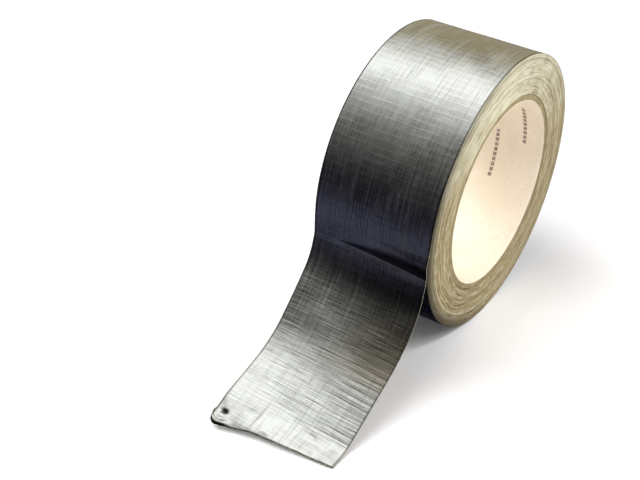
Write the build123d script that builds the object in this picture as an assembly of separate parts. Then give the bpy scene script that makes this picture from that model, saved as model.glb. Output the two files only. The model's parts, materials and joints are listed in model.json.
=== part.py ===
from build123d import *
import math
import os

# A roll of cloth-backed tape with its end peeled off the front.
#
# Millimetres.  The origin is the centre of the core's bore, +X runs along the core and +Z is up.
# The roll stands on its curved side.  The loose end leaves the front of the roll, on the -Y side,
# and runs down to the level that the roll stands on.

# Core: a tube of card plies, wound and glued
bore_radius = 38.1
liner_thickness = 0.2
card_ply_thickness = 0.7
card_ply_count = 3
outer_ply_thickness = 0.2

# Tape: film over a cloth of weft and warp yarns, with adhesive round and under the yarns
tape_width = 50.0
wound_length = 25000.0
film_thickness = 0.05
weft_thickness = 0.04
weft_width = 0.5
weft_pitch = 2.8
warp_thickness = 0.05
warp_width = 0.35
warp_pitch = 1.4
adhesive_thickness = 0.06

# The turns are grouped in rings, each of which stands for its share of the turns
ring_count = 6

# Loose end: a last stretch still stuck to the roll, then flat lengths that bend at hinge lines
peel_angle = 8.0  # the peel line, in degrees below the level of the axis
lap_length = 12.0
lap_clearance = 0.2
tail_length = 80.0
tail_slopes = [59, 50, 36, 31, 29]  # degrees below level, before the end is brought to the ground
bend_gap = 0.3  # left at each bend line, so that the flat lengths can turn
peel_gap = 0.8  # the same at the peel line, where the tape can fold right back
tear_skew = 5.0  # how much longer the loose end is along its -X edge

core_radius = bore_radius + liner_thickness + card_ply_count * card_ply_thickness + outer_ply_thickness
cloth_depth = film_thickness + weft_thickness + warp_thickness
tape_thickness = cloth_depth + adhesive_thickness
roll_radius = math.sqrt(core_radius**2 + wound_length * tape_thickness / math.pi)
lap_radius = roll_radius + lap_clearance + tape_thickness
peel_radius = lap_radius - tape_thickness / 2
segment_length = tail_length / len(tail_slopes)


def polar(radius, degrees):
    """A point at a radius and an angle, in a plane."""
    return radius * math.cos(math.radians(degrees)), radius * math.sin(math.radians(degrees))


def tube(inner, outer):
    """A tube about the X axis, as wide as the tape."""
    return Rot(0, 90, 0) * (Cylinder(outer, tape_width) - Cylinder(inner, tape_width))


def spaced(start, end, pitch):
    """Places between start and end, a pitch apart, with equal margins at both ends."""
    count = math.floor((end - start) / pitch)
    middle = (start + end) / 2
    return [middle + (i - (count - 1) / 2) * pitch for i in range(count)]


def tape_pieces(block, start, end, last_weft):
    """The film, yarns and adhesive of one stretch of tape.

    block(x0, x1, s0, s1, d0, d1) makes a block of it: x across, s along the tape, d below the film's face.
    """
    half = tape_width / 2
    weft_depth = film_thickness + weft_thickness
    weft = [
        block(-half, half, s - weft_width / 2, s + weft_width / 2, film_thickness, weft_depth)
        for s in spaced(start, last_weft, weft_pitch)
    ]
    warp = [
        block(x - warp_width / 2, x + warp_width / 2, start, end, weft_depth, cloth_depth)
        for x in spaced(-half, half, warp_pitch)
    ]
    return {
        "film": block(-half, half, start, end, 0, film_thickness),
        "weft_yarns": Compound(weft),
        "warp_yarns": Compound(warp),
        "adhesive": block(-half, half, start, end, film_thickness, tape_thickness) - weft - warp,
    }


def core_nodes():
    """Core, from the bore outwards: white liner, card plies, outer ply."""
    nodes = {}
    radius = bore_radius
    plies = [("core_liner", liner_thickness)]
    plies += [(f"core_card_ply_{i + 1}", card_ply_thickness) for i in range(card_ply_count)]
    plies += [("core_outer_ply", outer_ply_thickness)]
    for name, thickness in plies:
        nodes[name] = tube(radius, radius + thickness)
        radius += thickness
    return nodes


def wound_nodes():
    """The wound turns, as rings of equal depth from the core to the outside of the roll."""
    depth = (roll_radius - core_radius) / ring_count
    return {
        f"wound_turns_{i + 1}": tube(core_radius + i * depth, core_radius + (i + 1) * depth)
        for i in range(ring_count)
    }


def lap_nodes():
    """The last stretch of tape still on the roll, which ends half a gap short of the peel line."""

    def block(x0, x1, s0, s1, d0, d1):
        start, end = (180 + peel_angle + math.degrees(s / peel_radius) for s in (s0, s1))
        outer, inner = lap_radius - d0, lap_radius - d1
        outline = Curve() + [
            CenterArc((0, 0), inner, start, end - start),
            CenterArc((0, 0), outer, start, end - start),
            Line(polar(inner, start), polar(outer, start)),
            Line(polar(inner, end), polar(outer, end)),
        ]
        return extrude(Plane.YZ.offset(x0) * make_face(outline), x1 - x0)

    pieces = tape_pieces(block, -lap_length, -peel_gap / 2, -peel_gap / 2)
    return {f"lap_{name}": piece for name, piece in pieces.items()}


def slopes_to_ground():
    """The slopes of the tail, all turned by the one angle that brings its longer corner to the ground."""
    lengths = [segment_length] * (len(tail_slopes) - 1) + [segment_length + tear_skew / 2]
    slopes = [math.radians(slope) for slope in tail_slopes]
    fall = roll_radius - peel_radius * math.sin(math.radians(peel_angle))
    down = sum(n * math.sin(a) for n, a in zip(lengths, slopes)) + tape_thickness / 2 * math.cos(slopes[-1])
    along = sum(n * math.cos(a) for n, a in zip(lengths, slopes)) - tape_thickness / 2 * math.sin(slopes[-1])
    turn = math.asin(fall / math.hypot(down, along)) - math.atan2(down, along)
    return [math.degrees(slope + turn) for slope in slopes]


def bend_lines():
    """Where each hinge line of the tail crosses the YZ plane, the peel line first, then the free end."""
    y, z = polar(peel_radius, 180 + peel_angle)
    lines = [(y, z)]
    for slope in slopes_to_ground():
        dy, dz = polar(segment_length, slope)
        y, z = y - dy, z - dz
        lines.append((y, z))
    return lines


def tail_nodes():
    """The flat lengths of the tail, each lying from one bend line to the next, and the last one torn."""
    half = tape_width / 2
    short, long = segment_length - tear_skew / 2, segment_length + tear_skew / 2
    tear = make_face(
        Polyline((-half, -long), (half, -short), (half, -2 * long), (-half, -2 * long), close=True)
    )
    torn_off = extrude(tear, tape_thickness, both=True)

    def block(x0, x1, s0, s1, d0, d1):
        centre = Pos((x0 + x1) / 2, -(s0 + s1) / 2, tape_thickness / 2 - (d0 + d1) / 2)
        return centre * Box(x1 - x0, s1 - s0, d1 - d0)

    def torn_block(*limits):
        return block(*limits) - torn_off

    nodes = {}
    lines = bend_lines()
    last = len(tail_slopes) - 1
    for i, slope in enumerate(slopes_to_ground()):
        start = (peel_gap if i == 0 else bend_gap) / 2
        end = segment_length - bend_gap / 2
        if i == last:
            pieces = tape_pieces(torn_block, start, long, short)
        else:
            pieces = tape_pieces(block, start, end, end)
        place = Pos(0, *lines[i]) * Rot(slope, 0, 0)
        for name, piece in pieces.items():
            nodes[f"tail_{i + 1}_{name}"] = place * piece
    return nodes


os.makedirs("parts", exist_ok=True)
for node, shape in {**core_nodes(), **wound_nodes(), **lap_nodes(), **tail_nodes()}.items():
    export_step(shape, f"parts/{node}.step")
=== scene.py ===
import json
import math
import random

import bmesh
import bpy
from mathutils import Matrix, Vector, noise


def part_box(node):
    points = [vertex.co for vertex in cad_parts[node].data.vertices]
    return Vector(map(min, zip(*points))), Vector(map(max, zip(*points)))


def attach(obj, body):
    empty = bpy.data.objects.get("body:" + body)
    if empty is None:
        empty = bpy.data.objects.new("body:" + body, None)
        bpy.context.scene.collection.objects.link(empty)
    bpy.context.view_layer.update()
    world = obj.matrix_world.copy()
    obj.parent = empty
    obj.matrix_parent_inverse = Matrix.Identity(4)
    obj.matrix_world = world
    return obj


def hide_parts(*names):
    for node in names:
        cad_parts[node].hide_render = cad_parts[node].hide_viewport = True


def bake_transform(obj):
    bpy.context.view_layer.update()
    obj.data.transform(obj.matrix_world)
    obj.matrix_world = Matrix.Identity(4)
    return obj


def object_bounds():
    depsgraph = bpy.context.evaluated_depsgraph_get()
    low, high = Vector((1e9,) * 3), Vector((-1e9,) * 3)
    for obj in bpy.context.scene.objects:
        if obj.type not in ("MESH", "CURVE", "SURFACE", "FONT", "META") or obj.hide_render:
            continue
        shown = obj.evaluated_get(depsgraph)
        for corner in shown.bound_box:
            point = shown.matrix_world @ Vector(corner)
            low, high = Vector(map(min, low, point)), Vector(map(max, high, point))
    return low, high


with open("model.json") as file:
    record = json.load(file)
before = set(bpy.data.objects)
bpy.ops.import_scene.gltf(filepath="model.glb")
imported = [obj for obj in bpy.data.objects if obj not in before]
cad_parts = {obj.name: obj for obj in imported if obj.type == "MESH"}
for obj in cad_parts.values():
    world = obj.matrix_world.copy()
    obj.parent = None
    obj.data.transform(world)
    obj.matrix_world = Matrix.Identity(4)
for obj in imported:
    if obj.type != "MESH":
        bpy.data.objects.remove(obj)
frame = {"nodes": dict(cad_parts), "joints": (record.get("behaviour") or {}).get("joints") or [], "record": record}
cad_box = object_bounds()
mm = 0.001


# Camera: the viewpoint in front of the roll, to its right and above it, looking into the bore.
# The roll sits right of the middle of the frame and the loose end comes down to the lower left.
azimuth, elevation, roll_angle = math.radians(33.31), math.radians(35.15), math.radians(1.96)
camera_offset = Vector((-50.8 * mm, -27.0 * mm, 474.1 * mm))
camera_turn = (
    Matrix.Rotation(azimuth, 4, "Z")
    @ Matrix.Rotation(math.pi / 2 - elevation, 4, "X")
    @ Matrix.Rotation(roll_angle, 4, "Z")
)
camera = bpy.data.objects.new("camera", bpy.data.cameras.new("camera"))
camera.data.sensor_width = 36
camera.data.lens = 65.87
camera.data.clip_start = 0.01
camera.matrix_world = Matrix.Translation(camera_turn @ camera_offset) @ camera_turn
bpy.context.scene.collection.objects.link(camera)
bpy.context.scene.camera = camera
bpy.context.scene.view_settings.view_transform = "Standard"


# Studio: a pale table top, one large soft light high on the left, a weaker one on the right, and a
# soft spot into the bore.  Beyond them the room is dark, which is what the silver film mirrors.
class Shade:
    """A value in a node tree.  Sums, products and powers of values add their Math nodes."""

    def __init__(self, tree, socket=None):
        self.tree = tree
        self.socket = socket

    def node(self, kind, inputs=None, output=0, stops=None, **settings):
        """Adds one node: its settings, then its ramp's stops, then its inputs' values or links."""
        made = self.tree.nodes.new(kind)
        for name, value in settings.items():
            setattr(made, name, value)
        if stops:
            ramp = made.color_ramp
            while len(ramp.elements) < len(stops):
                ramp.elements.new(1.0)
            for element, (place, colour) in zip(ramp.elements, stops):
                element.position = place
                element.color = (*colour, 1.0)
        for name, value in (inputs or {}).items():
            if isinstance(value, Shade):
                self.tree.links.new(value.socket, made.inputs[name])
            else:
                made.inputs[name].default_value = value
        return Shade(self.tree, made.outputs[output])

    def part(self, name):
        """Another output of the same node."""
        return Shade(self.tree, self.socket.node.outputs[name])

    def maths(self, operation, *values):
        return self.node("ShaderNodeMath", dict(enumerate(values)), operation=operation)

    def mix(self, low, high, blend="MIX"):
        """A colour from low to high as this value goes from 0 to 1."""
        inputs = {0: self, 6: low, 7: high}
        return self.node("ShaderNodeMix", inputs, output=2, data_type="RGBA", blend_type=blend)

    def __add__(self, other):
        return self.maths("ADD", self, other)

    def __sub__(self, other):
        return self.maths("SUBTRACT", self, other)

    def __rsub__(self, other):
        return self.maths("SUBTRACT", other, self)

    def __mul__(self, other):
        return self.maths("MULTIPLY", self, other)

    def __pow__(self, other):
        return self.maths("POWER", self, other)

    __radd__ = __add__
    __rmul__ = __mul__

    def between(self, low, high):
        """0 where this is below low, 1 where it is above high, and smooth in between."""
        inputs = {"Value": self, "From Min": low, "From Max": high}
        return self.node("ShaderNodeMapRange", inputs, interpolation_type="SMOOTHSTEP")

    def cos(self):
        return self.maths("COSINE", self)

    def unsigned(self):
        """This value without its sign."""
        return self.maths("ABSOLUTE", self)

    def feeds(self, shader, name):
        self.tree.links.new(self.socket, shader.inputs[name])


floor_level = cad_box[0].z
floor_mesh = bpy.data.meshes.new("floor")
floor_bm = bmesh.new()
bmesh.ops.create_grid(floor_bm, x_segments=1, y_segments=1, size=3.0)
bmesh.ops.translate(floor_bm, verts=floor_bm.verts, vec=(0, 0, floor_level))
floor_bm.to_mesh(floor_mesh)
floor = bpy.data.objects.new("floor", floor_mesh)
floor.visible_glossy = False
bpy.context.scene.collection.objects.link(floor)
floor_paint = bpy.data.materials.new("table_top")
floor_paint.use_nodes = True
floor_shader = floor_paint.node_tree.nodes["Principled BSDF"]
floor_shader.inputs["Base Color"].default_value = (0.93, 0.93, 0.94, 1)
floor_shader.inputs["Roughness"].default_value = 0.9
floor_shader.inputs["Specular IOR Level"].default_value = 0.0
floor_mesh.materials.append(floor_paint)


def soft_light(name, direction, distance, size, power, colour):
    """A square area light that faces the roll from a direction."""
    lamp = bpy.data.lights.new(name, "AREA")
    lamp.shape = "RECTANGLE"
    lamp.size, lamp.size_y = size
    lamp.energy = power
    lamp.color = colour
    light = bpy.data.objects.new(name, lamp)
    towards = Vector(direction).normalized()
    light.location = towards * distance
    light.rotation_mode = "QUATERNION"
    light.rotation_quaternion = towards.to_track_quat("Z", "Y")
    bpy.context.scene.collection.objects.link(light)
    return light


key_light = soft_light("key_light", (-0.42, -0.28, 0.86), 1.1, (1.1, 0.9), 13.3, (1.0, 0.99, 0.97))
key_light.visible_glossy = False
side_light = soft_light("side_light", (0.72, 0.05, 0.70), 0.40, (0.2, 0.2), 0.75, (1.0, 0.98, 0.95))
side_light.visible_glossy = False

spot = bpy.data.lights.new("bore_light", "SPOT")
spot.energy = 3.2
spot.color = (0.96, 0.98, 1.0)
spot.spot_size = math.radians(13)
spot.spot_blend = 0.8
spot.shadow_soft_size = 0.02
bore_light = bpy.data.objects.new("bore_light", spot)
spot_place, spot_aim = Vector((0.24, -0.01, 0.32)), Vector((0.002, -0.004, -0.036))
bore_light.location = spot_place
bore_light.rotation_mode = "QUATERNION"
bore_light.rotation_quaternion = (spot_place - spot_aim).to_track_quat("Z", "Y")
bore_light.visible_glossy = False
bpy.context.scene.collection.objects.link(bore_light)

room = bpy.data.worlds.new("room")
room.use_nodes = True
bpy.context.scene.world = room
room.node_tree.nodes.clear()
start = Shade(room.node_tree)
direction = start.node("ShaderNodeTexCoord", output="Generated")
axes = start.node("ShaderNodeSeparateXYZ", {"Vector": direction})
x, y, z = axes.part("X"), axes.part("Y"), axes.part("Z")
# 0.5 is straight up, 0.25 the front horizon and 0.75 the back one, whatever the place along the roll
lean = y.maths("ARCTAN2", y, z) * (0.5 / math.pi) + 0.5
overhead = lean.node(
    "ShaderNodeValToRGB",
    {"Fac": lean},
    stops=[
        (0.05, (0.003, 0.003, 0.008)),
        (0.11, (0.020, 0.024, 0.045)),
        (0.16, (0.120, 0.125, 0.200)),
        (0.22, (0.012, 0.011, 0.022)),
        (0.27, (0.018, 0.018, 0.022)),
        (0.33, (0.12, 0.12, 0.115)),
        (0.40, (0.32, 0.32, 0.295)),
        (0.47, (0.80, 0.82, 0.80)),
        (0.535, (1.90, 1.93, 1.88)),
        (0.575, (1.45, 1.48, 1.42)),
        (0.625, (0.50, 0.49, 0.42)),
        (0.67, (0.43, 0.37, 0.21)),
        (0.78, (0.42, 0.37, 0.26)),
        (0.82, (0.04, 0.04, 0.05)),
        (0.93, (0.003, 0.003, 0.008)),
    ],
)
left_end = x.between(-0.85, -0.55) * 0.8 + 0.2
low_front = 1 - lean.between(0.36, 0.45)
right_of_view = x.between(-0.50, -0.34) * (1 - x.between(0.1, 0.5))
mirrored = (left_end * (1 - low_front * right_of_view * 0.7)).mix((0.0, 0.0, 0.0, 1.0), overhead)
rays = start.node("ShaderNodeLightPath")
lit = rays.part("Is Glossy Ray").mix((0.47, 0.47, 0.48, 1.0), mirrored)
seen = rays.part("Is Camera Ray").mix(lit, (1.0, 1.0, 1.0, 1.0))
world_shader = start.node("ShaderNodeBackground", {"Color": seen, "Strength": 1.0})
world_out = room.node_tree.nodes.new("ShaderNodeOutputWorld")
room.node_tree.links.new(world_shader.socket, world_out.inputs["Surface"])


# Core liner: the pale paper that lines the bore, one strip wound in a helix with a butt seam.
# It is glued to the board under it, and two rows of ink dashes are rolled on to it.
def add_piece(name, bm, body, replaced, materials):
    """Makes a smooth-shaded piece of a bmesh, which rides on a body and stands for CAD nodes."""
    mesh = bpy.data.meshes.new(name)
    bm.to_mesh(mesh)
    bm.free()
    mesh.polygons.foreach_set("use_smooth", [True] * len(mesh.polygons))
    piece = bpy.data.objects.new(name, mesh)
    bpy.context.scene.collection.objects.link(piece)
    for material in materials:
        mesh.materials.append(material)
    if body:
        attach(piece, body)
    if replaced:
        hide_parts(*replaced)
    return piece


def lathe(outline, steps):
    """A closed outline of (x, radius) points, turned about the core's axis."""
    bm = bmesh.new()
    verts = [bm.verts.new((x, 0, radius)) for x, radius in outline]
    edges = [bm.edges.new((a, b)) for a, b in zip(verts, verts[1:] + verts[:1])]
    bmesh.ops.spin(
        bm,
        geom=verts + edges,
        cent=(0, 0, 0),
        axis=(1, 0, 0),
        angle=2 * math.pi,
        steps=steps,
        use_merge=True,
    )
    bmesh.ops.remove_doubles(bm, verts=bm.verts, dist=1e-7)
    bmesh.ops.recalc_face_normals(bm, faces=bm.faces)
    return bm


def tube_outline(half_width, inner, outer, edge, across=1):
    """The section of a tube whose four edges are taken off by a small chamfer."""
    low, high = -half_width + edge, half_width - edge
    run = [low + (high - low) * i / across for i in range(across + 1)]
    return (
        [(x, outer) for x in run]
        + [(half_width, outer - edge), (half_width, inner + edge)]
        + [(x, inner) for x in reversed(run)]
        + [(-half_width, inner + edge), (-half_width, outer - edge)]
    )


def outer_radius(node):
    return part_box(node)[1].z


def new_material(name, roughness, metallic=0.0, **constants):
    """A material, its shader, and a value that starts new nodes."""
    made = bpy.data.materials.new(name)
    made.use_nodes = True
    shader = made.node_tree.nodes["Principled BSDF"]
    shader.inputs["Roughness"].default_value = roughness
    shader.inputs["Metallic"].default_value = metallic
    for socket, value in constants.items():
        shader.inputs[socket.replace("_", " ")].default_value = value
    return made, shader, Shade(made.node_tree)


def speckle(start, place, scale, detail=3.0):
    """Noise from 0 to 1 at a place, with features 1 / scale across."""
    inputs = {"Vector": place, "Scale": scale, "Detail": detail, "Roughness": 0.55}
    return start.node("ShaderNodeTexNoise", inputs)


def bumped(height, shader, strength=1.0):
    """Leads a height in metres to the shader's normal."""
    inputs = {"Height": height, "Strength": strength, "Distance": 1.0}
    height.node("ShaderNodeBump", inputs).feeds(shader, "Normal")


bore_radius = frame["record"]["mounts"][0]["dims"]["r_mm"] * mm
half_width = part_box("core_liner")[1].x
liner_radius = outer_radius("core_liner")
core_recess = 0.25 * mm  # the core is a little shorter than the tape is wide
core_end = half_width - core_recess
liner_shine = 0.62
seam_lead = 1.15  # how far round the seam runs for each length along the bore
seam_start = -62 * mm
# each row of dashes: its place along the bore, and the angles that it runs between
dash_rows = [(3.9 * mm, -26, 7), (16.2 * mm, 3, 35)]
dash_pitch, dash_length, dash_height = 2.3 * mm, 1.6 * mm, 1.3 * mm
ink_blur = 0.25 * mm

liner_paper, shader, start = new_material("liner_paper", liner_shine)
place = start.node("ShaderNodeTexCoord", output="Object")
axes = start.node("ShaderNodeSeparateXYZ", {"Vector": place})
x, y, z = axes.part("X"), axes.part("Y"), axes.part("Z")
around = z.maths("ARCTAN2", z, y) * bore_radius
seam = (around - x * seam_lead - seam_start).unsigned()
seam_line = 1 - seam.between(0.15 * mm, 0.45 * mm)
ink = None
for along, low, high in dash_rows:
    from_low = around - math.radians(low) * bore_radius
    length = math.radians(high - low) * bore_radius
    step = from_low.maths("MODULO", from_low, dash_pitch)
    in_row = 1 - (x - along).unsigned().between(dash_height / 2, dash_height / 2 + ink_blur)
    in_dash = 1 - step.between(dash_length, dash_length + ink_blur)
    in_span = from_low.between(-0.1 * mm, 0.1 * mm) * (1 - from_low.between(length, length + 0.2 * mm))
    row = in_row * in_dash * in_span
    ink = row if ink is None else ink + row
fibres = speckle(start, place, 900, 5)
blotches = speckle(start, place, 70)
paper = blotches.between(0.3, 0.7).mix((0.80, 0.70, 0.56, 1), (0.86, 0.77, 0.64, 1))
paper = (fibres.between(0.45, 0.75) * 0.35).mix(paper, (0.66, 0.55, 0.42, 1))
paper = (seam_line * 0.2).mix(paper, (0.45, 0.36, 0.26, 1))
worn_ink = ink * speckle(start, place, 1600).between(0.25, 0.5)
(worn_ink * 0.8).mix(paper, (0.09, 0.04, 0.03, 1)).feeds(shader, "Base Color")
(fibres * 0.2 + liner_shine - 0.1).feeds(shader, "Roughness")
bumped(fibres * (0.03 * mm) + blotches * (0.15 * mm) - seam_line * (0.05 * mm), shader)

add_piece(
    "core_liner_paper",
    lathe(tube_outline(core_end, bore_radius, liner_radius, 0.06 * mm, across=24), steps=240),
    "roll",
    ["core_liner"],
    [liner_paper],
)


# Core board: plies of dense grey-brown board wound over the liner, with a thin kraft ply outside.
# They are cut a little short of the tape, and their cut edges show as faint rings beside the bore.
def board_material(name, light, dark):
    made, shader, start = new_material(name, 0.85)
    place = start.node("ShaderNodeTexCoord", output="Object")
    fibres = speckle(start, place, 1400, 5)
    blotches = speckle(start, place, 160)
    colour = blotches.between(0.3, 0.7).mix(dark, light)
    (fibres.between(0.5, 0.8) * 0.5).mix(colour, (0.2, 0.16, 0.11, 1)).feeds(shader, "Base Color")
    bumped(fibres * (0.08 * mm) + blotches * (0.1 * mm), shader)
    return made


board = board_material("core_board", (0.38, 0.31, 0.17, 1), (0.25, 0.20, 0.10, 1))
kraft = board_material("kraft_paper", (0.12, 0.08, 0.05, 1), (0.07, 0.045, 0.03, 1))
plies = sorted((n for n in frame["nodes"] if n.startswith("core_card_ply")), key=outer_radius)
ply_inner = liner_radius
for node in [*plies, "core_outer_ply"]:
    ply_outer = outer_radius(node)
    is_kraft = node == "core_outer_ply"
    add_piece(
        node.replace("card_ply", "board_ply") + "_edge",
        lathe(tube_outline(core_end - 0.05 * mm, ply_inner, ply_outer, 0.05 * mm, across=2), steps=200),
        "roll",
        [node],
        [kraft if is_kraft else board],
    )
    ply_inner = ply_outer


# Wound turns: one strip of tape wound on itself, so its edges make fine rings at both sides.
# Each turn's edge is film, cloth and adhesive cut together, and no two turns sit quite level.
turn_pitch = 0.2 * mm
groove_depth, level_spread = 0.14, 0.07  # in millimetres
film_depth = 0.12 * mm  # how much of the last ring is left for the outer turn's film
chance = random.Random(3)


def turn_edges(inner, outer):
    """Points across one side, from inner to outer radius: a groove between turns, a crest on each."""
    count = max(2, round((outer - inner) / turn_pitch))
    points = []
    for i in range(count):
        low = inner + (outer - inner) * i / count
        crest = inner + (outer - inner) * (i + 0.5) / count
        sunk = chance.uniform(0.0, level_spread) + 0.05 * math.sin(crest / mm * 1.9)
        sunk = max(sunk, 0) * mm
        points.append((groove_depth * mm + sunk, low))
        points.append((sunk, crest))
    points.append((groove_depth * mm, outer))
    return points


edge_tape, shader, start = new_material("tape_edges", 0.5)
place = start.node("ShaderNodeTexCoord", output="Object")
axes = start.node("ShaderNodeSeparateXYZ", {"Vector": place})
y, z = axes.part("Y"), axes.part("Z")
radius = (y * y + z * z) ** 0.5
angle = z.maths("ARCTAN2", z, y)
drawn_round = {"X": radius * 1000, "Y": angle * 1.1, "Z": axes.part("X") * 20}
swirl = start.node("ShaderNodeCombineXYZ", drawn_round)
rings = speckle(start, swirl, 2.3, 5)
broad_rings = start.node("ShaderNodeTexNoise", {"W": radius * 480, "Scale": 1.0}, noise_dimensions="1D")
stains = speckle(start, place, 130)
# painted light: the tape's edges are paler towards the top, where light falls from above, mixed with random
# stains; cream is the lit colour, tan the shaded one
height_share = z * (1 / (50 * mm))
top_light_and_stains = (height_share - 0.1 + (stains - 0.5) * 1.2).between(0.0, 1.0)
tan = rings.between(0.38, 0.62).mix((0.27, 0.21, 0.09, 1), (0.55, 0.45, 0.25, 1))
cream = rings.between(0.38, 0.62).mix((0.58, 0.54, 0.35, 1), (0.88, 0.84, 0.66, 1))
colour = top_light_and_stains.mix(tan, cream)
colour = (broad_rings.between(0.5, 0.7) * 0.5).mix(colour, (0.74, 0.68, 0.50, 1))
colour = (broad_rings.between(0.25, 0.42) * -0.55 + 0.55).mix(colour, (0.30, 0.24, 0.15, 1))
grime_and_shade_zone = (1 - y.between(-45 * mm, 15 * mm)) * (1 - top_light_and_stains * 0.5) * rings.between(0.2, 0.45)
short_dashes = start.node("ShaderNodeCombineXYZ", {"X": radius * 900, "Y": angle * 9})
mottle = speckle(start, short_dashes, 1.0, 4)
colour = (mottle.between(0.52, 0.66) * 0.35).mix(colour, (0.20, 0.145, 0.075, 1))
colour = (mottle.between(0.48, 0.34) * 0.35).mix(colour, (0.86, 0.82, 0.66, 1))
# dark grime on the front of the outer rim, weaker towards the top where the painted top light is
shade_and_grime = radius.between(49.5 * mm, 57 * mm) * grime_and_shade_zone
colour = (shade_and_grime * 0.9).mix(colour, (0.06, 0.055, 0.04, 1))
wall_shade = 1 - radius.between(ply_inner + 0.03 * mm, ply_inner + 0.3 * mm)
colour = (wall_shade * 0.25).mix(colour, (0.07, 0.045, 0.03, 1))
colour.feeds(shader, "Base Color")
(rings * 0.3 + 0.33).feeds(shader, "Roughness")
bumped(rings * (0.05 * mm) + stains * (0.2 * mm), shader)

ring_nodes = sorted((n for n in frame["nodes"] if n.startswith("wound_turns")), key=outer_radius)
ring_inner = ply_inner
for node in ring_nodes:
    ring_outer = outer_radius(node)
    if node == ring_nodes[-1]:
        ring_outer -= film_depth
    near = [(half_width - sunk, place_out) for sunk, place_out in turn_edges(ring_inner, ring_outer)]
    far = [(-half_width + sunk, place_out) for sunk, place_out in turn_edges(ring_inner, ring_outer)]
    turns = lathe(near + far[::-1], steps=240)
    add_piece(node + "_edges", turns, "roll", [node], [edge_tape])
    ring_inner = ring_outer


# Outer turn: the silver film that faces outwards, with the cloth's yarns showing through as a grid.
# It is polyethylene with aluminium flake, laminated on to the cloth, and stretched tight on the roll.
warp_pitch, weft_pitch = 1.4 * mm, 2.8 * mm
roll_radius = outer_radius(ring_nodes[-1])
peel_line = Vector(frame["joints"][1]["pos_m"])
peel_angle = math.atan2(peel_line.z, peel_line.y) % (2 * math.pi)


def grain(across, along, across_scale, along_scale, detail=3.0, layer=0.0):
    """Noise drawn out along the strip or across it, with features 1 / scale long each way."""
    drawn_out = {"X": across * across_scale, "Y": along * along_scale, "Z": layer}
    return speckle(across, across.node("ShaderNodeCombineXYZ", drawn_out), 1.0, detail)


# the last argument sets how strongly the loose end's painted shade, shadow and highlight show
def film_material(name, stretch, crinkle, painted_light_strength=0.0):
    """Silver film over cloth.  It follows the UV map, which is metres across and along the tape."""
    made, shader, start = new_material(name, 0.3, 1.0)
    place = start.node("ShaderNodeUVMap", uv_map="tape")
    axes = start.node("ShaderNodeSeparateXYZ", {"Vector": place})
    across, along = axes.part("X"), axes.part("Y")
    waver = grain(across, along, 120, 60, 2) * (1.2 * mm)
    warp = (across + waver) * (2 * math.pi / warp_pitch)
    weft = (along + waver) * (2 * math.pi / weft_pitch)
    warp_ridge = (warp.cos() * 0.5 + 0.5) ** 2
    weft_ridge = (weft.cos() * 0.5 + 0.5) ** 5
    fine_weft = ((weft * 3).cos() * 0.5 + 0.5) ** 2
    streaks = grain(across, along, 900, 45)
    cross_streaks = grain(across, along, 60, 1100)
    patches = grain(across, along, 90, 90)
    height = (
        warp_ridge * (0.016 * mm) * (patches + 0.4)
        + weft_ridge * (0.015 * mm) * (patches + 0.3)
        + fine_weft * (0.008 * mm)
        + streaks * (stretch * mm)
        + cross_streaks * (crinkle * mm)
        + patches * (0.25 * mm)
    )
    bumped(height, shader)
    tone = (streaks * 0.5 + patches * 0.5).between(0.35, 0.65)
    colour = tone.mix((0.50, 0.50, 0.49, 1), (0.68, 0.685, 0.68, 1))
    colour = (weft_ridge * 0.25).mix(colour, (0.80, 0.80, 0.78, 1))
    # on the loose end: a brown smear of painted shade, a painted shadow above the fold, a painted dark stretch
    # below it and a painted highlight on its crease
    # painted shade: a brown darkening between 8 and 54 mm past the peel line, stronger towards the right edge
    grime_and_shade_zone = along.between(8 * mm, 24 * mm) * (1 - along.between(38 * mm, 54 * mm))
    smear_and_shade = grime_and_shade_zone * (across * 20 + patches * 0.5 + cross_streaks * 0.4).between(0.05, 0.85)
    colour = (smear_and_shade * painted_light_strength).mix(colour, (0.22, 0.19, 0.145, 1))
    # painted shadow: a dark blue-grey wedge just above the fold line, widening towards the right
    fold = across * 0.064 - along - 0.4 * mm
    fold_shadow_width = across.between(-20 * mm, 22 * mm) * (9.5 * mm) + 0.2 * mm
    painted_fold_shadow = fold.between(-0.2 * mm, 0.5 * mm) * (1 - fold.between(fold_shadow_width * 0.45, fold_shadow_width))
    colour = (painted_fold_shadow * painted_light_strength).mix(colour, (0.05, 0.05, 0.10, 1))
    # painted shade: the film from 2 to 24 mm past the peel line is darkened, more towards the right
    shade_stretch = along.between(2 * mm, 5 * mm) * (1 - along.between(10 * mm, 24 * mm))
    painted_shade_below_fold = shade_stretch * (across * 18 + patches).between(0.0, 0.8)
    colour = (painted_shade_below_fold * painted_light_strength * 0.85).mix(colour, (0.11, 0.11, 0.10, 1))
    # painted highlight: a pale bluish line along the fold's crease on the left half of the strip
    fold_highlight = (1 - fold.unsigned().between(0.2 * mm, 0.9 * mm)) * across.between(-16 * mm, -6 * mm)
    colour = (fold_highlight * painted_light_strength * 0.6).mix(colour, (0.85, 0.87, 0.92, 1))
    if painted_light_strength:
        # painted shade along the torn edge and in the pit, read from a vertex layer
        shade_and_grime = start.node("ShaderNodeAttribute", attribute_name="shade_and_grime", output="Fac")
        colour = (shade_and_grime * (streaks * 0.5 + 0.65)).mix(colour, (0.06, 0.055, 0.03, 1))
    from_middle = across.unsigned() + (streaks - 0.5) * (0.8 * mm)
    rim = from_middle.between(half_width - 0.9 * mm, half_width - 0.2 * mm)
    (rim * 0.8).mix(colour, (0.10, 0.085, 0.05, 1)).feeds(shader, "Base Color")
    scuffs = grain(across, along, 620, 32, 2, layer=5.0).between(0.60, 0.72) * patches.between(0.3, 0.6)
    scratches = grain(across, along, 1500, 24, 1, layer=9.0).between(0.62, 0.70)
    dullness = tone * 0.12 + scuffs * 0.28 + scratches * 0.22 + fold_highlight * (painted_light_strength * 0.25)
    (dullness + 0.22).feeds(shader, "Roughness")
    return made


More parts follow.
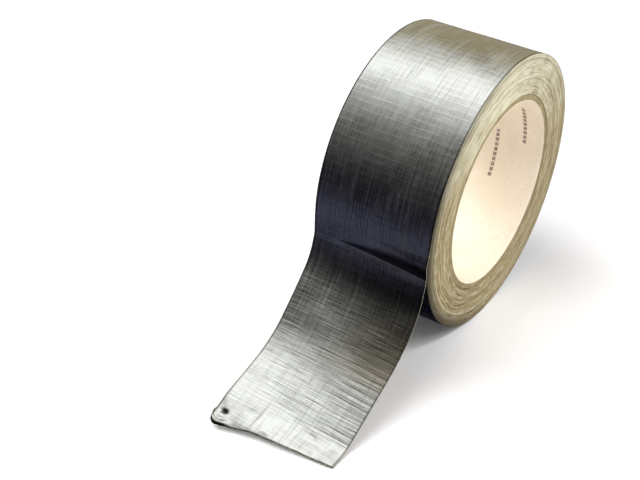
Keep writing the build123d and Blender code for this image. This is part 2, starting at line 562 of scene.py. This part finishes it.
roll_film = film_material("roll_film", 0.10, 0.05)
film_outline = tube_outline(half_width, roll_radius - film_depth, roll_radius, 0.04 * mm, across=56)
film_bm = lathe(film_outline, steps=420)
for vert in film_bm.verts:
    radial = Vector((0, vert.co.y, vert.co.z))
    if radial.length > roll_radius - 0.01 * mm:
        swell = noise.noise(vert.co * 55) + 0.5 * noise.noise(vert.co * 140)
        vert.co += radial.normalized() * (swell - 0.6) * 0.05 * mm
film_uv = film_bm.loops.layers.uv.new("tape")
for face in film_bm.faces:
    middle = face.calc_center_median()
    middle_turn = (math.atan2(middle.z, middle.y) - peel_angle) % (2 * math.pi)
    for loop in face.loops:
        turn = (math.atan2(loop.vert.co.z, loop.vert.co.y) - peel_angle) % (2 * math.pi)
        turn += round((middle_turn - turn) / (2 * math.pi)) * 2 * math.pi
        loop[film_uv].uv = (loop.vert.co.x, (turn - 2 * math.pi) * roll_radius)
add_piece("outer_turn_film", film_bm, "roll", [], [roll_film])


# Loose end: the strip itself, peeled off the front of the roll, film side up and adhesive down.
# It kinks where it leaves the roll, is creased across along its yarns, and is torn off at the end.
hinges = [Vector(joint["pos_m"]) for joint in frame["joints"][1:]]
bodies = [joint["child"] for joint in frame["joints"]]
stretch_length = (hinges[1] - hinges[0]).length
longest_corner = Vector((0, *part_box("tail_5_film")[0].yz))
tail_way = (longest_corner - hinges[-1]).normalized()
long_edge = stretch_length * (len(hinges) - 1) + (longest_corner - hinges[-1]).length
tear_slant = 5 * mm
tape_depth = turn_pitch  # on the roll, each turn lies one thickness of tape outside the last
lap_rise = peel_line.length + tape_depth / 2 - roll_radius
lap_length = 12 * mm
buried = 0.15 * mm  # the lap's start is sunk into the outer turn, so that no step shows there
kink = 1.6 * mm  # how far on each side of the peel line the kink reaches


def stretch_middle(i):
    """The middle of a flat stretch between two hinge lines."""
    if i < len(hinges) - 1:
        return (hinges[i] + hinges[i + 1]) / 2
    return hinges[-1] + tail_way * stretch_length / 2


def on_roll(s):
    """A place on the roll that is s from the peel line, and the way out from the roll there."""
    angle = peel_angle + s / peel_line.length
    out = Vector((0, math.cos(angle), math.sin(angle)))
    settle = min(1.0, max(0.0, -s / lap_length))
    return out * (roll_radius - buried + (lap_rise + buried) * (1 - settle) ** 2), out


def arc(a, b, c, t):
    """A place on the curve that leaves a towards b and reaches c from b, and the way it runs."""
    place = a * (1 - t) ** 2 + b * 2 * t * (1 - t) + c * t**2
    return place, ((b - a) * (1 - t) + (c - b) * t).normalized()


def tape_line(s):
    """A place on the tape's middle line that is s past the peel line, and the film's way up there."""
    top = hinges[0] * ((roll_radius + lap_rise) / hinges[0].length)
    first_way = (hinges[1] - hinges[0]).normalized()
    if s < -kink:
        return on_roll(s)
    if s < kink:
        place, way = arc(on_roll(-kink)[0], top, top + first_way * kink, (s + kink) / (2 * kink))
    elif s < stretch_length / 2:
        way = first_way
        place = top + way * s
    elif s > stretch_length * (len(hinges) - 0.5):
        way = tail_way
        place = hinges[-1] + way * (s - stretch_length * (len(hinges) - 1))
    else:
        i = int(s / stretch_length + 0.5)
        t = s / stretch_length + 0.5 - i
        place, way = arc(stretch_middle(i - 1), hinges[i], stretch_middle(i), t)
    return place, Vector((0, way.z, -way.y))


def ramp(value, low, high):
    """0 below low, 1 above high, smooth in between."""
    t = min(1.0, max(0.0, (value - low) / (high - low)))
    return t * t * (3 - 2 * t)


def through(points, s):
    """The height at s of a smooth line through (place, height) points, all in millimetres."""
    s = min(max(s / mm, points[0][0]), points[-1][0])
    i = max(j for j in range(len(points) - 1) if points[j][0] <= s)
    slopes = []
    for j in (i, i + 1):
        before, after = points[max(j - 1, 0)], points[min(j + 1, len(points) - 1)]
        slopes.append((after[1] - before[1]) / (after[0] - before[0]))
    (low, low_height), (high, high_height) = points[i], points[i + 1]
    run = high - low
    t = (s - low) / run
    held = low_height * (1 + 2 * t) * (1 - t) ** 2 + high_height * t * t * (3 - 2 * t)
    return held + run * t * (1 - t) * (slopes[0] * (1 - t) - slopes[1] * t)


# How far the edges and the middle stand above the flat stretches, as (place along, height) in
# millimetres: both edges sag, the left corner lifts, and the middle dips below the fold.
left_rise = [(0, 0), (7, -1.7), (24, -1.5), (44, -2.5), (60, 0.2), (71, 2.6), (80, 3.4), (88, 3.0)]
right_rise = [(0, 0), (9, -3.2), (20, -5.0), (31, -5.5), (45, -4.5), (60, -4.6), (70, -4.4), (80, -1.0)]
middle_rise = [(0, 0), (4, -0.2), (13, -1.3), (22, -0.9), (33, 0), (88, 0)]
corner_length = 2.6 * mm  # how far the tear draws the left corner out
corner_round = 4.0 * mm
pit = Vector((-21.4 * mm, 78.4 * mm))  # across and along the tape
pit_width, pit_length = 1.3 * mm, 0.8 * mm
floor_gap = 0.25 * mm


def torn_line(x):
    """How far from the peel line the tear is: slanted, and drawn out and rounded at the left."""
    share = x / (2 * half_width)
    drawn_out = corner_length * ramp(share, -0.1, -0.5)
    inset = max(0.0, corner_round - half_width - x)
    rounded = corner_round - math.sqrt(corner_round**2 - inset**2)
    return long_edge - tear_slant * (share + 0.5) + drawn_out - rounded


def in_pit(x, s):
    """1 in the middle of the pit that a finger pressed into the left corner, 0 outside it."""
    return math.exp(-(((x - pit.x) / pit_width) ** 2) - ((s - pit.y) / pit_length) ** 2)


def edge_shade(x, s, end):
    """1 along the tear and in the pit, where painted shade darkens the film, 0 elsewhere."""
    width = (0.8 + 1.0 * ramp(x, -15 * mm, -21 * mm)) * mm
    return max(1 - ramp(end - s, width * 0.5, width), ramp(in_pit(x, s), 0.2, 0.6))


def relief(x, s, end):
    """How far the film stands above the tape's middle line: sag, creases, dents and waves.

    Every height here is in millimetres, until the last line.
    """
    side = x / half_width
    left = through(left_rise, s)
    right = through(right_rise, s)
    middle = through(middle_rise, s) * (1 - 0.55 * side * side)
    sag = left + (right - left) * (side + 1) / 2 + middle
    smooth_tip = ramp(end - s, 7 * mm, 12 * mm)
    creased = ramp(s, 16 * mm, 45 * mm) * smooth_tip
    ridge_place = s + 0.5 * mm * noise.noise(Vector((x * 60, s * 25, 4)))
    ridge = 1 - (0.5 + 0.5 * math.cos(2 * math.pi * ridge_place / weft_pitch)) ** 3
    right_side = 0.12 + 0.88 * ramp(side, -0.5, 0.8)
    uneven = 0.25 + 1.1 * ramp(noise.noise(Vector((x * 45, s * 160, 11))), -0.45, 0.35)
    creases = (ridge - 0.7) * 0.07 * creased * right_side * uneven
    bulge = 0.9 * ramp(side, -0.5, 1.0) * ramp(s, -10 * mm, -5 * mm) * (1 - ramp(s, -5 * mm, 0))
    fold_place = (s / mm + 0.4 - 1.6 * side) / 0.8
    fold = 0.4 * math.exp(-fold_place * fold_place) * ramp(side, -0.7, -0.3)
    fine = noise.noise(Vector((x * 110, s * 1500, 0))) * 0.04 * ramp(s, 6 * mm, 20 * mm) * smooth_tip
    crumple = noise.noise(Vector((x * 90, s * 90, 7))) * 0.25 * ramp(s, 8 * mm, 30 * mm)
    tip = ramp(s, end - 9 * mm, end)
    waves = tip * (0.18 * math.sin(x / mm * 0.62 + 0.8) + 0.10 * math.sin(x / mm * 1.3) + 0.2)
    dents = -0.26 * (1 - smooth_tip) * ramp(noise.noise(Vector((x * 130, s * 110, 2))), 0.0, 0.5)
    corner = ramp(side, -0.6, -0.8) * ramp(s, end - 6 * mm, end - 3 * mm)
    lip = corner * (0.7 * ramp(end - s, 3 * mm, 1.2 * mm) - 0.5 * ramp(end - s, 0.8 * mm, 0.0))
    return (sag + creases + bulge + fold + fine + crumple + waves + dents + lip - in_pit(x, s)) * mm


def tape_piece(name, first, last, bodies_joined, replaced, across=110, along_step=0.25 * mm):
    """A stretch of the strip between two distances from the peel line; last None is the torn end."""
    bm = bmesh.new()
    longest = (last or long_edge) - first
    rows = max(4, round(longest / along_step))
    bmesh.ops.create_grid(bm, x_segments=across, y_segments=rows, size=0.5)
    tape_uv = bm.loops.layers.uv.new("tape")
    shade_and_grime = bm.verts.layers.float.new("shade_and_grime")
    flat = {}
    for vert in bm.verts:
        x = vert.co.x * 2 * half_width
        end = torn_line(x)
        ragged = 0.25 * mm * noise.noise(Vector((x * 900, 0, 3))) if last is None else 0.0
        stop = last or end + ragged
        flat[vert] = (x, first + (stop - first) * (vert.co.y + 0.5), end)
    for face in bm.faces:
        for loop in face.loops:
            loop[tape_uv].uv = flat[loop.vert][:2]
    for vert, (x, s, end) in flat.items():
        # how strongly shade is painted on the film along the tear and in the pit
        vert[shade_and_grime] = edge_shade(x, s, end)
        place, up = tape_line(s)
        vert.co = place + up * relief(x, s, end)
        vert.co.x = x
        vert.co.z = max(vert.co.z, floor_level + floor_gap)
    bm.normal_update()
    if sum(face.normal.z for face in bm.faces) < 0:
        bmesh.ops.reverse_faces(bm, faces=bm.faces)
    for edge in bm.edges:
        edge.smooth = not edge.is_boundary
    single = bodies_joined[0] if len(bodies_joined) == 1 else None
    piece = add_piece(name, bm, single, replaced, [tail_film, underside, cut_edge])
    layers = piece.modifiers.new("film, cloth and adhesive", "SOLIDIFY")
    layers.thickness = tape_depth
    layers.offset = -1
    layers.material_offset = 1
    layers.material_offset_rim = 2
    return piece


tail_film = film_material("tail_film", 0.04, 0.10, painted_light_strength=0.9)

underside, shader, start = new_material("adhesive_underside", 0.35)
place = start.node("ShaderNodeUVMap", uv_map="tape")
axes = start.node("ShaderNodeSeparateXYZ", {"Vector": place})
across, along = axes.part("X"), axes.part("Y")
warp_yarn = ((across * (2 * math.pi / warp_pitch)).cos() * 0.5 + 0.5) ** 3
weft_yarn = ((along * (2 * math.pi / weft_pitch)).cos() * 0.5 + 0.5) ** 5
yarns = warp_yarn.maths("MAXIMUM", warp_yarn, weft_yarn)
smear_and_shade = grain(across, along, 300, 200)
glue = smear_and_shade.between(0.3, 0.7).mix((0.50, 0.48, 0.40, 1), (0.60, 0.57, 0.47, 1))
(yarns * 0.6).mix(glue, (0.74, 0.73, 0.67, 1)).feeds(shader, "Base Color")
(smear_and_shade * 0.3 + 0.25).feeds(shader, "Roughness")
bumped(yarns * (0.03 * mm) + smear_and_shade * (0.08 * mm), shader)

cut_edge, shader, start = new_material("cut_edge", 0.6)
place = start.node("ShaderNodeTexCoord", output="Object")
frayed = speckle(start, place, 2500)
tape_place = start.node("ShaderNodeUVMap", uv_map="tape")
along = start.node("ShaderNodeSeparateXYZ", {"Vector": tape_place}, output="Y")
# the cut edge is darker from 16 to 60 mm along the strip and past 72 mm
darker_stretches = along.between(16 * mm, 28 * mm) * (1 - along.between(52 * mm, 60 * mm))
darker_stretches = darker_stretches + along.between(72 * mm, 77 * mm)
edge_colour = frayed.between(0.35, 0.65).mix((0.45, 0.38, 0.25, 1), (0.70, 0.63, 0.47, 1))
(darker_stretches * 0.85).mix(edge_colour, (0.09, 0.085, 0.06, 1)).feeds(shader, "Base Color")
bumped(frayed * (0.06 * mm), shader)

bend_reach = 6 * mm  # how far on each side of a hinge line the bend's end points are taken
kink_reach = 1 * mm  # the same, nearer on the roll's side of the peel line
tip_seam, tip_reach = 6.5 * mm, 5.5 * mm  # past the last hinge line, where the torn end begins
layer_names = ["film", "weft_yarns", "warp_yarns", "adhesive"]
seams = [-lap_length] + [stretch_length * (i + 0.5) for i in range(len(hinges))]
seams[-1] = stretch_length * (len(hinges) - 1) + tip_seam
for i in range(len(hinges)):
    replaced = [f"{bodies[i + 1]}_{layer}" for layer in layer_names]
    if i == 0:
        replaced += [f"{bodies[0]}_{layer}" for layer in layer_names]
    strip = tape_piece(f"tape_strip_{i + 1}", seams[i], seams[i + 1], bodies[i : i + 2], replaced)
    before = kink_reach if i == 0 else bend_reach
    after = tip_reach if i == len(hinges) - 1 else bend_reach
    bend_from = tape_line(i * stretch_length - before)[0]
    bend_to = tape_line(i * stretch_length + after)[0]
    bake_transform(strip)
torn_end = tape_piece("tape_torn_end", seams[-1], None, bodies[-1:], [])
